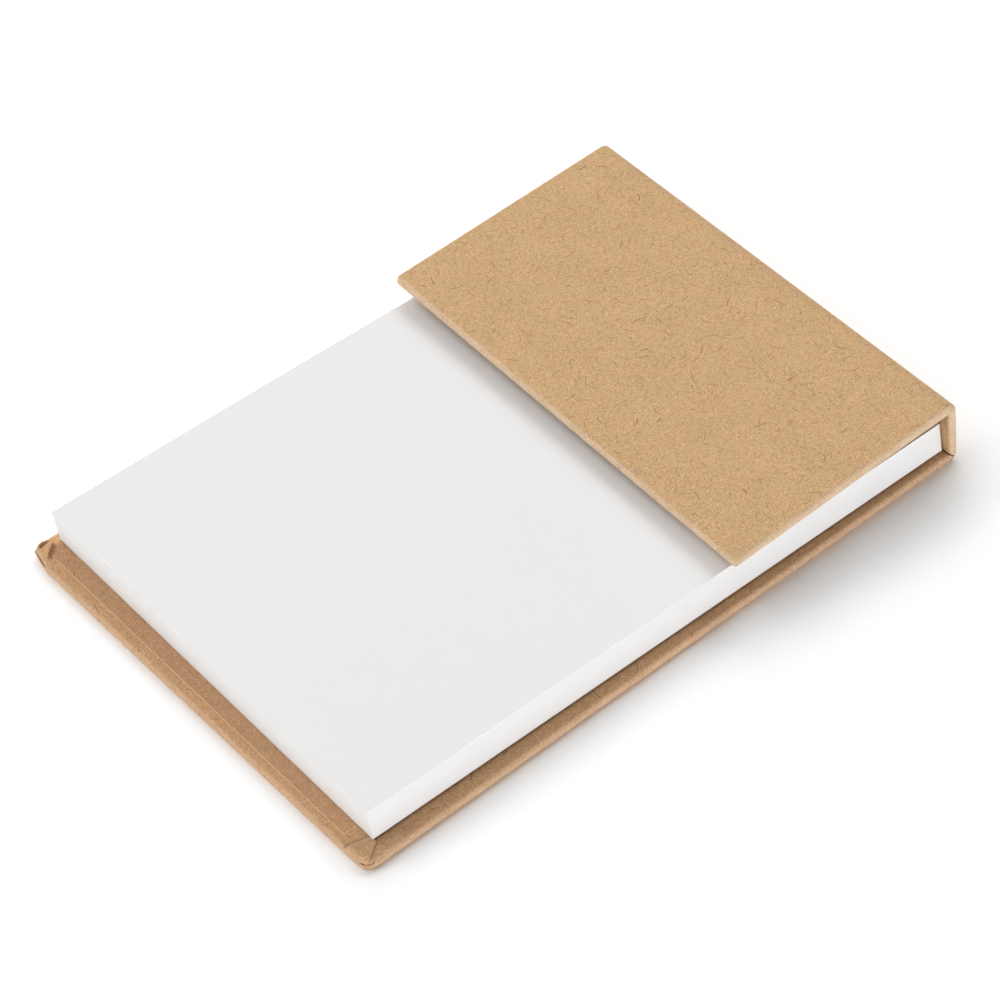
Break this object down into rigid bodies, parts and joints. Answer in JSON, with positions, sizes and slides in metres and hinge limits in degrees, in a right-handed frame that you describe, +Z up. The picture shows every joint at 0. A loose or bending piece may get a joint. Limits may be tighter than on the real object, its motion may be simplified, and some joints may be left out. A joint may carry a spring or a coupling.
{
  "type": "mini notebook",
  "caption": "Pocket notepad in a kraft-covered hard case: a full back board, a narrow spine and a short flap that closes over the bound end of a block of plain sheets.",
  "frame": {"origin": "centre of the bounding box at the underside of the back board", "axes": "+X along the length, from the free end to the spine; +Y across the pages, away from the viewer of the picture; +Z up, from the back board to the flap"},
  "size_m": [0.105, 0.07, 0.0118],
  "materials": {
    "grey_board": "matte grey board",
    "kraft_paper": "matte kraft paper with visible fibres",
    "kraft_lining": "matte kraft paper",
    "plain_paper": "matte uncoated white paper",
    "clear_glue": "dried white padding glue"
  },
  "bodies": {
    "back": {"back_board": "grey_board", "back_wrap": "kraft_paper", "back_liner": "kraft_lining", "paper_block": "plain_paper", "padding_glue": "clear_glue"},
    "spine": {"spine_board": "grey_board", "spine_wrap": "kraft_paper", "spine_liner": "kraft_lining"},
    "flap": {"flap_board": "grey_board", "flap_wrap": "kraft_paper", "flap_liner": "kraft_lining"}
  },
  "joints": [
    {"name": "spine_fold", "type": "hinge", "parent": "back", "child": "spine", "pos_m": [0.05214, 0, 0.00047], "axis": [0, 1, 0], "range_deg": [0, 96.5]},
    {"name": "flap_fold", "type": "hinge", "parent": "spine", "child": "flap", "pos_m": [0.05085, 0, 0.01131], "axis": [0, 1, 0], "range_deg": [0, 85.4]}
  ]
}
